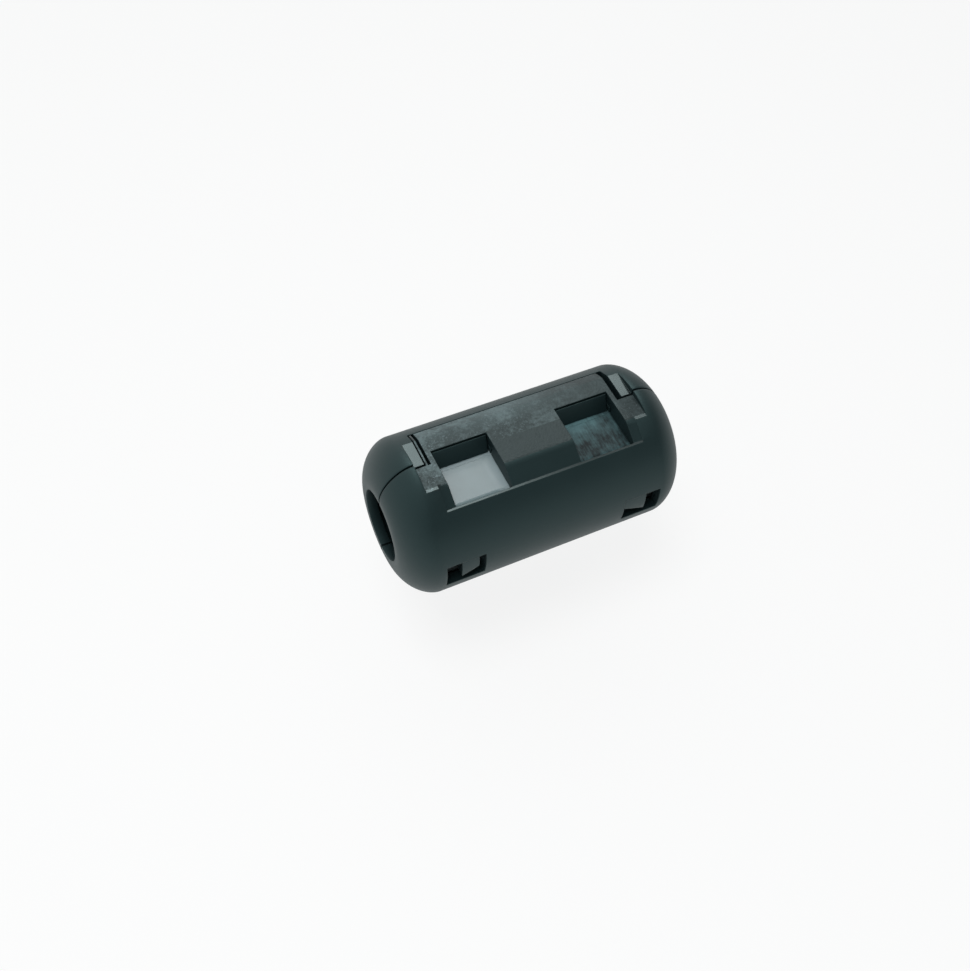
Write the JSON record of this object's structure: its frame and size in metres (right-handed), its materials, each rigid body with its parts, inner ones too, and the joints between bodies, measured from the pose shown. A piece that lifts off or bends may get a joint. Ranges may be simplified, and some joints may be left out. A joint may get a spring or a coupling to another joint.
{
  "type": "clip on ferrite bead",
  "caption": "Round two-part plastic clamp with a split ferrite core, hinged below and snap-latched above, that clips round a cable to damp high-frequency noise.",
  "frame": {"origin": "centre of the cable hole, halfway along the bead", "axes": "+X along the cable hole, +Z towards the latch side, the shells part on the plane Y = 0 with the base shell towards -Y and the cover towards +Y"},
  "size_m": [0.037, 0.0196, 0.0188],
  "materials": {
    "shell_plastic": "satin moulded nylon, dark grey",
    "ferrite": "sintered nickel-zinc ferrite, smooth, dark grey"
  },
  "bodies": {
    "base": {"base_shell": "shell_plastic", "base_core": "ferrite"},
    "cover": {"cover_shell": "shell_plastic", "cover_core": "ferrite"}
  },
  "joints": [
    {"name": "cover_hinge", "type": "hinge", "parent": "base", "child": "cover", "pos_m": [0, 0, -0.00875], "axis": [-1, 0, 0], "range_deg": [0, 150]}
  ]
}
